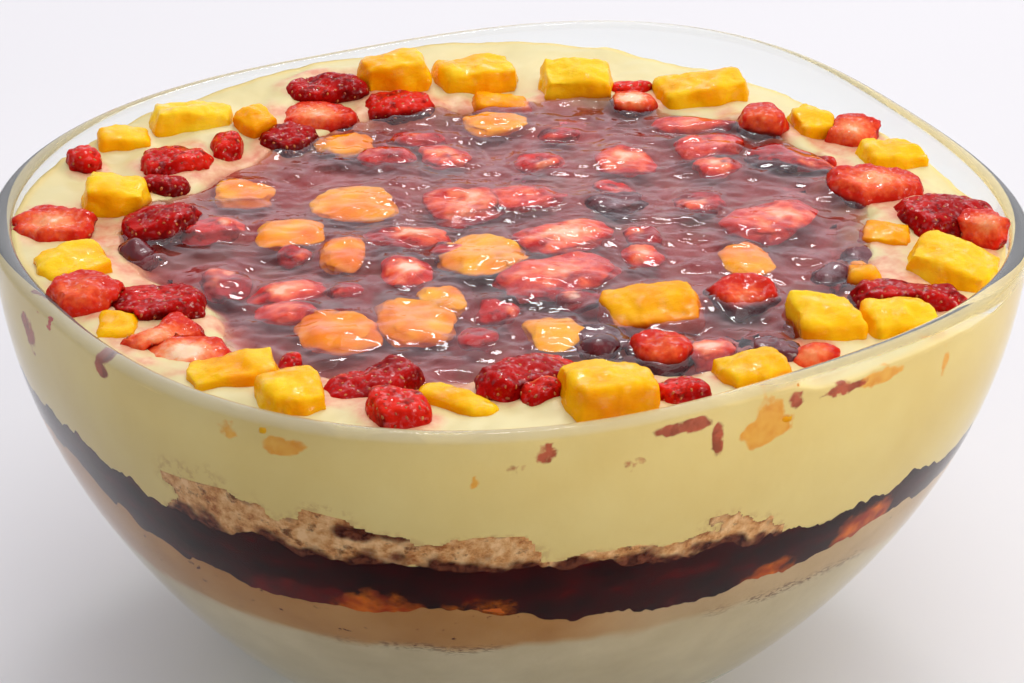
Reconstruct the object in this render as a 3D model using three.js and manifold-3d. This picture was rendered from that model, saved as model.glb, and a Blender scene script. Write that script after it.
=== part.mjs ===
// A fruit trifle in its rounded-square glass bowl: cream, a band of red jelly with mango, sponge, custard,
// a pool of jelly and chopped mango and strawberry on top.
// Millimetres, +Z up. The origin is the middle of the foot, +X runs along the bowl's wider way.
import * as THREE from "three";
import { mergeVertices } from "three/addons/utils/BufferGeometryUtils.js";
import Module from "manifold-3d";

const wasm = await Module();
wasm.setup();

// Driving dimensions
const gap = 0.3; // between pieces that touch
const glassGap = 0.5; // between the food and the glass, whose flat faces cut across each other's curve
const segments = 32; // faces round the bowl and round each layer
const headroom = 30; // cutting solids run this far over or past the rim

const bowl = {
  halfWidth: 125, // at the rim, outside, along X
  narrowShare: 0.88, // the half-width along Y over the one along X
  squareness: 2.56, // 2 is an ellipse, higher is nearer a rectangle
  squarenessRise: 0.63, // how fast the round foot turns into the squarish rim
  height: 122,
  rimWave: [1.5, 43], // the rim's two high corners: rise, direction in degrees
  rimRipple: [1.0, 25], // four lesser ones
  footShare: 0.477, // foot radius over rim radius
  floorShare: 0.42, // the flat inside floor over the inside of the rim
  floorHeight: 20, // thick solid base
  wall: 5, // at the rim
  lip: 1.2, // how far the rounded rim falls back on each side
  sidePower: 2.22, // how early the side turns upright
  footPower: 1.085,
};

// Heights of the layers at the glass, every 30 degrees from +X: the bowl was filled on a slight slope.
const layers = {
  redBase: [66, 68, 70, 72, 75, 78, 79, 74, 71.5, 62.5, 68, 67],
  redTop: [77, 79, 82.5, 86, 89, 90, 89, 89, 86, 78, 76.5, 76],
  spongeTop: [85, 87, 91, 94, 97, 98, 97, 98.5, 94, 88, 85, 84],
  fillEdge: [112, 113, 118, 120, 117, 116, 119, 120.5, 120.5, 117, 114.5, 112.5],
  fillMiddle: 115.5,
  climbFrom: 0.7, // the custard starts to rise to its edge at this share of the radius
  climbTo: 0.97,
  spongeInset: 0.92, // the sponge stops short of the glass
  spongeReach: 0.14, // but goes out by this more, to meet it, at its patches
  spongePatches: [[-134, 24], [-92, 9], [40, 12], [112, 14], [160, 9]], // middle and half-width, degrees
};

const pool = {
  radius: [97, 85, 82, 70, 74, 72, 81, 97, 88, 95, 90, 77, 90, 92, 88, 88], // every 22.5 degrees from +X
  depth: 9,
  lip: 1.2, // depth at its edge
  proud: 0.8, // its surface over the custard
  ripple: 0.5,
};

// Fruit on top: kind, place x and y, size along, across and high, turn in degrees, how much shows.
const toppings = [
  ["mango", -83, 55, 17, 17, 15, -28, 8],
  ["mango", -66, 89, 15, 13, 10, -22, 4],
  ["mango", -46, 90, 23, 17, 13, -18, 6],
  ["mango", -32, 79, 11, 13, 14, -77, 7],
  ["mango", 15, 88, 20, 17, 15, -18, 9],
  ["mango", 37, 80, 25, 17, 15, -15, 8],
  ["mango", 35, 64, 17, 12, 10, -27, 4],
  ["mango", 60, 64, 22, 18, 14, -27, 8],
  ["mango", 89, 44, 28, 18, 13, -17, 7],
  ["mango", 104, 14, 12, 16, 12, -17, 6],
  ["mango", 113, -13, 22, 16, 12, -19, 6],
  ["mango", 77, -52, 14, 14, 9, -43, 3],
  ["mango", 80, -75, 24, 22, 14, -63, 7],
  ["mango", 33, -84, 18, 19, 14, -20, 7],
  ["mango", 50, -91, 19, 17, 13, -17, 6],
  ["mango", 2, -99, 18, 16, 15, -10, 6],
  ["mango", -35, -96, 22, 19, 17, -12, 9],
  ["mango", -63, -81, 20, 10, 10, -64, 4],
  ["mango", -95, -66, 14, 18, 16, -7, 7],
  ["mango", -100, -48, 23, 17, 14, -19, 6],
  ["mango", -112, -14, 10, 14, 11, -27, 3],
  ["mango", -108, 23, 20, 17, 12, 1, 5],
  ["strawberry", -102, 48, 24, 20, 9, -48, 5],
  ["strawberry", -81, 80, 11, 11, 12, -80, 6],
  ["strawberry", -60, 70, 20, 19, 12, -17, 6],
  ["strawberry", -27, 70, 18, 18, 10, 14, 5],
  ["strawberry", -13, 79, 24, 19, 10, -35, 5],
  ["strawberry", -5, 90, 25, 16, 9, -24, 5],
  ["strawberry", 9, 74, 22, 17, 9, -26, 5],
  ["strawberry", 68, 48, 14, 18, 8, -37, 4],
  ["strawberry", 91, 18, 15, 18, 12, -45, 7],
  ["strawberry", 112, 4, 16, 20, 13, -54, 7],
  ["strawberry", 93, -29, 29, 22, 11, -6, 6],
  ["strawberry", 98, -51, 30, 23, 12, -13, 7],
  ["strawberry", 101, -62, 15, 16, 12, -69, 9],
  ["strawberry", 59, -83, 29, 16, 12, -33, 6],
  ["strawberry", -19, -101, 12, 16, 11, 6, 6],
  ["strawberry", -43, -78, 30, 18, 12, 5, 7],
  ["strawberry", -77, -80, 14, 19, 13, -19, 7],
  ["strawberry", -75, -64, 28, 17, 11, 10, 6],
  ["strawberry", -104, -33, 22, 18, 9, -22, 4],
  ["strawberry", -106, -21, 23, 20, 12, 6, 5],
  ["strawberry", -100, -7, 25, 23, 13, -8, 6],
  ["strawberry", -113, 3, 19, 22, 13, -51, 7],
  ["strawberry", -79, 37, 23, 19, 11, -7, 6],
  ["cherry", 15, -90, 14, 15, 10, -22, 4],
  ["cherry", -90, 26, 10, 14, 10, -7, 4],
  ["mango", 2, -59, 26, 20, 15, -23, 5],
  ["strawberry", 25, -64, 17, 18, 11, -3, 5],
  ["strawberry", -7, -77, 16, 18, 12, 1, 6],
];

// Mango in the red band: direction in degrees, height, size round the bowl, inwards and high.
const pressed = 2; // its outer side is cut off by the glass it is pressed against
const bandMangoes = [
  [-137, 72, 23, 15, 9],
  [-125, 72, 13, 12, 8],
  [-84, 63, 22, 14, 9],
  [-68, 69, 13, 12, 10],
];

// Numbers that read as chance but are the same each time.
function chance(seed) {
  const s = Math.sin(seed * 127.1 + 11.7) * 43758.5453;
  return s - Math.floor(s);
}

// A smooth value from a list spaced evenly round the bowl, from +X.
function around(list, angle) {
  const place = THREE.MathUtils.euclideanModulo(angle / (2 * Math.PI), 1) * list.length;
  const i = Math.floor(place);
  const t = place - i;
  const at = (k) => list[(i + k + list.length) % list.length];
  const [a, b, c, d] = [at(-1), at(0), at(1), at(2)];
  return b + 0.5 * t * (c - a + t * (2 * a - 5 * b + 4 * c - d + t * (3 * (b - c) + d - a)));
}

// Degrees from one direction to another, the short way round
const turnBetween = (a, b) => Math.abs(THREE.MathUtils.euclideanModulo(a - b + 180, 360) - 180);

const smooth = (t) => THREE.MathUtils.smoothstep(t, 0, 1);
const radians = THREE.MathUtils.degToRad;

// Plan of the bowl as a share of its X half-width.
function planShare(angle) {
  const n = bowl.squareness;
  const x = Math.abs(Math.cos(angle)) ** n;
  const y = (Math.abs(Math.sin(angle)) / bowl.narrowShare) ** n;
  return (x + y) ** (-1 / n);
}

function rimHeight(angle) {
  const [wave, waveTurn] = bowl.rimWave;
  const [ripple, rippleTurn] = bowl.rimRipple;
  return bowl.height + wave * Math.cos(2 * (angle - radians(waveTurn)))
    + ripple * Math.cos(4 * (angle - radians(rippleTurn)));
}

// Radius of a side that rises by share t from its floor to the rim.
function sideRadius(t, angle, rim, floorShare) {
  const bulge = (1 - (1 - t) ** bowl.sidePower) ** (1 / bowl.footPower);
  return rim * (floorShare + (1 - floorShare) * bulge) * planShare(angle) ** (t ** bowl.squarenessRise);
}

const outerRadius = (t, angle) => sideRadius(t, angle, bowl.halfWidth, bowl.footShare);
const innerRadius = (t, angle) => sideRadius(t, angle, bowl.halfWidth - bowl.wall, bowl.floorShare);
const innerHeight = (t, angle) => bowl.floorHeight + t * (rimHeight(angle) - bowl.floorHeight);

function innerRadiusAt(z, angle) {
  const t = (z - bowl.floorHeight) / (rimHeight(angle) - bowl.floorHeight);
  return innerRadius(THREE.MathUtils.clamp(t, 0, 1), angle);
}

// A closed mesh as a solid.
function solidOf(geometry) {
  geometry.deleteAttribute("normal");
  geometry.deleteAttribute("uv");
  const merged = mergeVertices(geometry, 1e-4);
  const index = merged.index.array;
  const faces = [];
  for (let i = 0; i < index.length; i += 3) {
    const [a, b, c] = index.slice(i, i + 3);
    if (a !== b && b !== c && c !== a) faces.push(a, b, c);
  }
  return new wasm.Manifold(new wasm.Mesh({
    numProp: 3,
    vertProperties: merged.attributes.position.array,
    triVerts: new Uint32Array(faces),
  }));
}

// Turns a row of points round Z: rows are from the axis below, up the outside and back to the axis above,
// and place(row, angle) gives each one's radius and height.
function turned(rows, place) {
  const profile = rows.map((row, j) => new THREE.Vector2(1, j));
  const geometry = new THREE.LatheGeometry(profile, segments);
  const position = geometry.attributes.position;
  for (let i = 0; i <= segments; i++) {
    const angle = ((i % segments) / segments) * 2 * Math.PI;
    rows.forEach((row, j) => {
      const [radius, height] = place(row, angle);
      position.setXYZ(i * rows.length + j, radius * Math.cos(angle), radius * Math.sin(angle), height);
    });
  }
  return solidOf(geometry);
}

// Steps up the side of the glass, closer together where it curves most.
const outerSteps = [0, 0.05, 0.12, 0.22, 0.36, 0.54, 0.76, 0.975];
const innerSteps = [0, 0.04, 0.11, 0.22, 0.36, 0.54, 0.76, 0.98];

function makeBowl() {
  const outside = (t) => ({ radius: (a) => outerRadius(t, a), height: (a) => t * rimHeight(a) });
  const inside = (t) => ({ radius: (a) => innerRadius(t, a), height: (a) => innerHeight(t, a) });
  const rows = [
    { radius: () => 0, height: () => 0 },
    ...outerSteps.map(outside),
    { radius: (a) => outerRadius(1, a) - bowl.lip, height: rimHeight },
    { radius: (a) => innerRadius(1, a) + bowl.lip, height: rimHeight },
    ...innerSteps.map(inside).reverse(),
    { radius: () => 0, height: () => bowl.floorHeight },
  ];
  return turned(rows, (row, angle) => [row.radius(angle), row.height(angle)]);
}

// The space that food can fill, clear of the glass and open to well above the rim.
function makeHollow() {
  const floor = bowl.floorHeight + glassGap;
  const ceiling = bowl.height + headroom;
  const side = (t) => (angle) => innerRadius(t, angle) - glassGap;
  const rows = [
    { radius: () => 0, height: () => floor },
    { radius: side(0), height: () => floor },
    ...innerSteps.slice(1).map((t) => ({ radius: side(t), height: (a) => innerHeight(t, a) })),
    { radius: side(1), height: () => ceiling },
    { radius: () => 0, height: () => ceiling },
  ];
  return turned(rows, (row, angle) => [row.radius(angle), row.height(angle)]);
}

// Rings on a surface, as shares of its radius
const flatRings = [1];
const layerRings = [0.55, 0.9, 1];
const topRings = [0.4, 0.68, 0.79, 0.9, 1];
const poolFloorRings = [0.6, 0.84, 1];
const poolRings = [0.2, 0.4, 0.6, 0.8, 1];

// A body between two surfaces, out to a radius, with rings on each at these shares of it.
function slab(low, lowRings, high, highRings, radius) {
  const rows = [
    { share: 0, surface: low },
    ...lowRings.map((share) => ({ share, surface: low })),
    ...[...highRings].reverse().map((share) => ({ share, surface: high })),
    { share: 0, surface: high },
  ];
  return turned(rows, (row, angle) => {
    const r = row.share * radius(angle);
    return [r, row.surface(r * Math.cos(angle), r * Math.sin(angle))];
  });
}

const beyondWall = (angle) => outerRadius(1, angle) + headroom;

// All that lies under a surface. A layer is one of these less the one below it, so that their faces match.
function under(surface, rings, radius = beyondWall) {
  return slab(() => 0, flatRings, surface, rings, radius);
}

// A surface that has the listed heights near the glass and their mean in the middle, with low waves.
function layerSurface(list, wave, seed) {
  const mean = list.reduce((sum, z) => sum + z, 0) / list.length;
  return (x, y) => {
    const angle = Math.atan2(y, x);
    const share = Math.hypot(x, y) / innerRadius(1, angle);
    const edge = mean + (around(list, angle) - mean) * Math.min(share, 1);
    return edge + wave * Math.sin(x / 13 + seed) * Math.cos(y / 11 + 2 * seed);
  };
}

const redBase = layerSurface(layers.redBase, 1.1, 1);
const redTop = layerSurface(layers.redTop, 0.9, 2);
const spongeTop = layerSurface(layers.spongeTop, 1.6, 3);

// The custard's own top: level in the middle and drawn up the glass as far as it was spread.
function fillTop(x, y) {
  const angle = Math.atan2(y, x);
  const share = Math.hypot(x, y) / innerRadius(1, angle);
  const climb = smooth((share - layers.climbFrom) / (layers.climbTo - layers.climbFrom));
  const wave = 0.6 * Math.sin(x / 9) * Math.cos(y / 12);
  return layers.fillMiddle + wave + (around(layers.fillEdge, angle) - layers.fillMiddle) * climb;
}

const raised = (surface, by) => (x, y) => surface(x, y) + by;

// The column that the sponge takes up, down to the foot.
function spongeColumn(grow) {
  const reach = (angle) => {
    const patch = Math.max(...layers.spongePatches.map(([middle, half]) => {
      const away = turnBetween(THREE.MathUtils.radToDeg(angle), middle);
      return smooth(1.5 - away / half);
    }));
    const atGlass = innerRadius(0.7, angle);
    const z = redTop(atGlass * Math.cos(angle), atGlass * Math.sin(angle));
    return innerRadiusAt(z, angle) * (layers.spongeInset + layers.spongeReach * patch) + grow;
  };
  return under(raised(spongeTop, grow), layerRings, reach);
}

// The pool of jelly. Grown, it is the recess that it lies in, open above.
function makePool(grow) {
  const radius = (angle) => around(pool.radius, angle) + grow;
  const floor = (x, y) => {
    const share = Math.hypot(x, y) / around(pool.radius, Math.atan2(y, x));
    const depth = pool.lip + (pool.depth - pool.lip) * smooth((1 - share) / 0.35);
    return fillTop(x, y) - depth - grow;
  };
  const ripple = (x, y) => pool.ripple * Math.sin(x / 5 + Math.sin(y / 9)) * Math.sin(y / 4 + x / 30);
  const surface = (x, y) => fillTop(x, y) + pool.proud + ripple(x, y);
  const open = (x, y) => surface(x, y) + headroom;
  return slab(floor, poolFloorRings, grow ? open : surface, grow ? flatRings : poolRings, radius);
}

// How each kind of fruit is cut: corner (2 is round, higher is boxier), how much it narrows to one end,
// how uneven it is, and how far up the half-height its flat cut face lies.
const kinds = {
  mango: { corner: 4.6, taper: 0.12, uneven: 0.1, cut: 2 },
  strawberry: { corner: 2.8, taper: 0.3, uneven: 0.1, cut: 0.78 },
  cherry: { corner: 2.2, taper: 0.1, uneven: 0.22, cut: 2 },
};
const faceSteps = 2; // faces along each edge of the box that a piece is made from
const mostLean = 16; // degrees, from one side to the other

// A piece of fruit: a box pushed out to a rounded form, tapered, unevenly cut, then turned and set down.
function makeLump(kindName, size, place, turn, seed, grow) {
  const kind = kinds[kindName];
  const geometry = new THREE.BoxGeometry(2, 2, 2, faceSteps, faceSteps, faceSteps);
  const half = new THREE.Vector3(...size).multiplyScalar(0.5).addScalar(grow);
  const tip = (draw) => radians(mostLean * (chance(draw) - 0.5));
  const lean = new THREE.Euler(tip(seed), tip(seed + 0.3), turn);
  const position = geometry.attributes.position;
  const point = new THREE.Vector3();
  for (let i = 0; i < position.count; i++) {
    point.fromBufferAttribute(position, i);
    const own = Math.round(point.x * 7 + point.y * 31 + point.z * 113); // the same for the same corner
    const n = kind.corner;
    point.divideScalar((Math.abs(point.x) ** n + Math.abs(point.y) ** n + Math.abs(point.z) ** n) ** (1 / n));
    const narrow = 1 - kind.taper * (point.x + 1) / 2;
    point.y *= narrow;
    point.z *= 0.5 + 0.5 * narrow;
    point.multiplyScalar(1 + kind.uneven * (chance(seed * 3.7 + own) - 0.5));
    point.z = Math.min(point.z, kind.cut);
    point.multiply(half).applyEuler(lean).add(place);
    position.setXYZ(i, point.x, point.y, point.z);
  }
  return solidOf(geometry);
}

// The largest body of a cut solid, or null where nothing is left.
function largest(solid) {
  const bodies = solid.decompose();
  return bodies.length ? bodies.reduce((a, b) => (a.volume() > b.volume() ? a : b)) : null;
}

const boxesMeet = (a, b) => {
  const [p, q] = [a.boundingBox(), b.boundingBox()];
  return [0, 1, 2].every((k) => p.min[k] < q.max[k] && q.min[k] < p.max[k]);
};

// Lays the fruit down in order, each one giving way to the glass and to those before it.
function layFruit(list, hollow, taken) {
  return list.map(({ name, kind, size, place, turn, seed }) => {
    let solid = makeLump(kind, size, place, turn, seed, 0).intersect(hollow);
    taken.filter((other) => boxesMeet(solid, other)).forEach((other) => {
      solid = solid.subtract(other);
    });
    const room = makeLump(kind, size, place, turn, seed, gap);
    taken.push(room);
    return { name, kind, solid: largest(solid), room };
  });
}

const twoDigits = (n) => String(n).padStart(2, "0");

function toppingList() {
  const counts = {};
  return toppings.map(([kind, x, y, long, wide, high, turn, shows], i) => {
    counts[kind] = (counts[kind] ?? 0) + 1;
    return {
      name: `${kind}_${twoDigits(counts[kind])}`,
      kind,
      size: [long, wide, high],
      place: new THREE.Vector3(x, y, fillTop(x, y) + shows - high / 2),
      turn: radians(turn),
      seed: i + 1,
    };
  });
}

function bandList() {
  return bandMangoes.map(([degrees, height, long, deep, high], i) => {
    const angle = radians(degrees);
    const r = innerRadiusAt(height, angle) - deep / 2 + pressed;
    return {
      name: `band_mango_${twoDigits(i + 1)}`,
      kind: "mango",
      size: [deep, long, high],
      place: new THREE.Vector3(r * Math.cos(angle), r * Math.sin(angle), height),
      turn: angle,
      seed: 80 + i,
    };
  });
}

const finishes = {
  glass: { color: 0xdfe6e2, roughness: 0.05, metalness: 0 },
  cream: { color: 0xd9c39a, roughness: 0.6, metalness: 0 },
  jelly: { color: 0x3a060c, roughness: 0.15, metalness: 0 },
  sponge: { color: 0xc9976b, roughness: 0.9, metalness: 0 },
  custard: { color: 0xf0e3b8, roughness: 0.5, metalness: 0 },
  mango: { color: 0xf7ab1e, roughness: 0.25, metalness: 0 },
  strawberry: { color: 0xbe1f1a, roughness: 0.25, metalness: 0 },
  cherry: { color: 0x40070f, roughness: 0.15, metalness: 0 },
};

const trifle = new THREE.Group();

function add(name, solid, finish) {
  const made = solid.getMesh();
  const geometry = new THREE.BufferGeometry();
  geometry.setAttribute("position", new THREE.BufferAttribute(made.vertProperties, made.numProp));
  geometry.setIndex(new THREE.BufferAttribute(made.triVerts, 1));
  geometry.computeVertexNormals();
  const mesh = new THREE.Mesh(geometry, new THREE.MeshStandardMaterial(finishes[finish]));
  mesh.name = name;
  trifle.add(mesh);
}

const hollow = makeHollow();
const rooms = [];
const topFruit = layFruit(toppingList(), hollow, rooms);
const bandFruit = layFruit(bandList(), hollow, []);
const cutRound = (solid, fruit) => fruit.reduce((left, { room }) => left.subtract(room), solid);

const underBase = under(redBase, layerRings);
const underRed = under(redTop, layerRings);
const overBase = under(raised(redBase, gap), layerRings);
const overRed = under(raised(redTop, gap), layerRings);
const red = underRed.subtract(overBase).intersect(hollow);
const sponge = spongeColumn(0).subtract(overRed).intersect(hollow);
const custard = under(fillTop, topRings)
  .subtract(overRed)
  .subtract(spongeColumn(gap))
  .subtract(makePool(gap));

add("bowl", makeBowl(), "glass");
add("base_cream", largest(cutRound(underBase.intersect(hollow), bandFruit)), "cream");
add("red_jelly", largest(cutRound(red, bandFruit)), "jelly");
add("sponge", largest(sponge), "sponge");
add("custard", largest(cutRound(custard.intersect(hollow), topFruit)), "custard");
add("top_jelly", largest(cutRound(makePool(0), topFruit)), "jelly");
bandFruit.forEach(({ name, kind, solid }) => add(name, solid, kind));
topFruit.forEach(({ name, kind, solid }) => add(name, solid, kind));

export default trifle;
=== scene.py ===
import math

import bpy
import numpy as np
from mathutils import Matrix, Vector


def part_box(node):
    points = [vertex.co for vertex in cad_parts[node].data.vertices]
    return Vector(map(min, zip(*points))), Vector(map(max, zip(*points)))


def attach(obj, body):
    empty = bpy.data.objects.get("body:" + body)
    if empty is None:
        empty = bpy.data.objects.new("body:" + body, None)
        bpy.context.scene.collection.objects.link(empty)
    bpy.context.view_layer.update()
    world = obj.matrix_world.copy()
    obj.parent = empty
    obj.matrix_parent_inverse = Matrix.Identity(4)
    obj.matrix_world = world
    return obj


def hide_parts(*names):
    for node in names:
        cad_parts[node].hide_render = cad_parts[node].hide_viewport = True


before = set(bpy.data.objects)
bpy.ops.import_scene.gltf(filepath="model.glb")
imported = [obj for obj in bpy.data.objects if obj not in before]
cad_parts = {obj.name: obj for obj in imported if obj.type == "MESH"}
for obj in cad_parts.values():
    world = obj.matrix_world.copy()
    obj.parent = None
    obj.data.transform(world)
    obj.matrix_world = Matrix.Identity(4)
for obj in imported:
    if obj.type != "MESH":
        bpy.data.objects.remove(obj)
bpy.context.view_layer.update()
mm = 0.001

# ---- the bowl's form, which every layer follows
bowl = {
    "halfWidth": 0.125,      # at the rim, outside, along X
    "narrowShare": 0.88,     # half-width along Y over the one along X
    "squareness": 2.56,
    "squarenessRise": 0.63,  # how fast the round foot turns squarish
    "height": 0.122,
    "rimWave": (0.0015, 43),    # rise and direction of the two high corners
    "rimRipple": (0.0010, 25),
    "footShare": 0.477,
    "floorShare": 0.42,
    "floorHeight": 0.020,
    "wall": 0.005,
    "sidePower": 2.22,
    "footPower": 1.085,
}

# heights where the layers meet the glass, every 30 degrees from +X
layers = {
    "redBase": [.066, .068, .070, .072, .075, .078, .079, .074, .0715, .0625, .068, .067],
    "redTop": [.077, .079, .0825, .086, .089, .090, .089, .089, .086, .078, .0765, .076],
    "spongeTop": [.085, .087, .091, .094, .097, .098, .097, .0985, .094, .088, .085, .084],
    "fillEdge": [.112, .113, .118, .120, .117, .116, .119, .1205, .1205, .117, .1145, .1125],
    "fillMiddle": 0.1155,
    "climbFrom": 0.7,
    "climbTo": 0.97,
}


def around(values, angle):
    # a smooth value from a list spaced evenly round the bowl
    values = np.asarray(values)
    place = (angle / (2 * np.pi)) % 1 * len(values)
    i = np.floor(place).astype(int)
    t = place - i
    a, b, c, d = (values[(i + k) % len(values)] for k in (-1, 0, 1, 2))
    return b + 0.5 * t * (c - a + t * (2 * a - 5 * b + 4 * c - d + t * (3 * (b - c) + d - a)))


def smooth(t):
    t = np.clip(t, 0, 1)
    return t * t * (3 - 2 * t)


def grain(x, y, z, size, seed=0):
    # smooth noise from -1 to 1, in lumps of about this size
    p = np.stack(np.broadcast_arrays(x, y, z)) / size + seed * 7.31 + 300
    cell = np.floor(p).astype(np.int64)
    f = p - cell
    f = f * f * f * (f * (f * 6 - 15) + 10)
    total = 0
    for corner in range(8):
        d = np.array([corner & 1, corner >> 1 & 1, corner >> 2])
        n = [cell[k] + d[k] for k in range(3)]
        h = (n[0] * 73856093 ^ n[1] * 19349663 ^ n[2] * 83492791 ^ (seed + 1) * 2654435761) & 0xFFFFFFFF
        h = (h ^ h >> 15) * 2246822519 & 0xFFFFFFFF
        h = (h ^ h >> 13) * 3266489917 & 0xFFFFFFFF
        value = (h ^ h >> 16) / 0xFFFFFFFF * 2 - 1
        weight = np.prod([f[k] if d[k] else 1 - f[k] for k in range(3)], axis=0)
        total = total + weight * value
    return total


def rough(x, y, z, size, seed=0, steps=3, gain=0.5):
    # finer and finer grain, added up
    return sum(gain ** k * grain(x, y, z, size / 2 ** k, seed + 13 * k) for k in range(steps))


def planShare(angle):
    n = bowl["squareness"]
    return (np.abs(np.cos(angle)) ** n + (np.abs(np.sin(angle)) / bowl["narrowShare"]) ** n) ** (-1 / n)


def rimHeight(angle):
    (wave, waveTurn), (ripple, rippleTurn) = bowl["rimWave"], bowl["rimRipple"]
    return (bowl["height"] + wave * np.cos(2 * (angle - math.radians(waveTurn)))
            + ripple * np.cos(4 * (angle - math.radians(rippleTurn))))


def sideRadius(t, angle, rim, floorShare):
    bulge = (1 - (1 - t) ** bowl["sidePower"]) ** (1 / bowl["footPower"])
    return rim * (floorShare + (1 - floorShare) * bulge) * planShare(angle) ** (t ** bowl["squarenessRise"])


def outerRadius(t, angle):
    return sideRadius(t, angle, bowl["halfWidth"], bowl["footShare"])


def innerRadius(t, angle):
    return sideRadius(t, angle, bowl["halfWidth"] - bowl["wall"], bowl["floorShare"])


def wallAt(z, angle):
    # inside radius of the glass at a height
    t = (z - bowl["floorHeight"]) / (rimHeight(angle) - bowl["floorHeight"])
    return innerRadius(np.clip(t, 0, 1), angle)


def fillTop(x, y):
    # the custard's top: level in the middle, drawn up the glass
    angle = np.arctan2(y, x)
    share = np.hypot(x, y) / innerRadius(1.0, angle)
    climb = smooth((share - layers["climbFrom"]) / (layers["climbTo"] - layers["climbFrom"]))
    wave = 0.0006 * np.sin(x / 0.009) * np.cos(y / 0.012)
    return layers["fillMiddle"] + wave + (around(layers["fillEdge"], angle) - layers["fillMiddle"]) * climb


def layerHeight(name, x, y, wave, seed):
    values = np.array(layers[name])
    angle = np.arctan2(y, x)
    share = np.hypot(x, y) / innerRadius(1.0, angle)
    edge = values.mean() + (around(values, angle) - values.mean()) * np.minimum(share, 1)
    return edge + wave * np.sin(x / 0.013 + seed) * np.cos(y / 0.011 + 2 * seed)


def redBase(x, y):
    return layerHeight("redBase", x, y, 0.0011, 1)


def redTop(x, y):
    return layerHeight("redTop", x, y, 0.0009, 2)


# ---- small helpers for modelling
def turnBetween(a, b):
    # degrees between two directions, the short way round
    return np.abs((a - b + 180) % 360 - 180)


def addObject(name, data):
    thing = bpy.data.objects.new(name, data)
    bpy.context.scene.collection.objects.link(thing)
    return thing


def pickOnly(*pieces):
    bpy.ops.object.select_all(action="DESELECT")
    for piece in pieces:
        piece.select_set(True)
    bpy.context.view_layer.objects.active = pieces[0]


def startEdit(piece):
    pickOnly(piece)
    bpy.ops.object.mode_set(mode="EDIT")
    bpy.ops.mesh.select_mode(type="VERT")
    bpy.ops.mesh.select_all(action="SELECT")


def endEdit():
    bpy.ops.object.mode_set(mode="OBJECT")


def pointsOf(piece):
    points = np.empty(len(piece.data.vertices) * 3)
    piece.data.vertices.foreach_get("co", points)
    return points.reshape(-1, 3)


def movePoints(piece, points):
    piece.data.vertices.foreach_set("co", np.ascontiguousarray(points, float).ravel())
    piece.data.update()


def paint(piece, name, values):
    # a value for each point, which the finish reads
    layer = piece.data.attributes.new(name, "FLOAT", "POINT")
    layer.data.foreach_set("value", np.ascontiguousarray(values, np.float32))


def settle(piece, finish, nodes=()):
    # hangs a finished piece on the body, with its finish
    piece.data.materials.clear()
    piece.data.materials.append(finish)
    pickOnly(piece)
    bpy.ops.object.shade_smooth()
    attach(piece, "root")
    if nodes:
        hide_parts(*nodes)
    return piece


def applyModifier(piece, kind, **values):
    modifier = piece.modifiers.new(kind.title(), kind)
    for key, value in values.items():
        setattr(modifier, key, value)
    bpy.context.view_layer.objects.active = piece
    bpy.ops.object.modifier_apply(modifier=modifier.name)


def turnedPiece(name, columns, rows, place):
    # a closed form round Z: a sheet is wrapped round, and its seam and two poles are merged
    bpy.ops.mesh.primitive_grid_add(x_subdivisions=columns, y_subdivisions=len(rows) - 1, size=2)
    piece = bpy.context.object
    piece.name = piece.data.name = name
    flat = pointsOf(piece)
    angle = (flat[:, 0] + 1) / 2 * 2 * np.pi
    row = np.rint((flat[:, 1] + 1) / 2 * (len(rows) - 1)).astype(int)
    radius, height = place(np.asarray(rows)[row], np.where(angle > 2 * np.pi - 1e-6, 0, angle))
    movePoints(piece, np.stack([radius * np.cos(angle), radius * np.sin(angle), height], 1))
    startEdit(piece)
    bpy.ops.mesh.remove_doubles(threshold=1e-6)
    bpy.ops.mesh.select_all(action="SELECT")
    bpy.ops.mesh.normals_make_consistent(inside=False)
    endEdit()
    return piece


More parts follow.
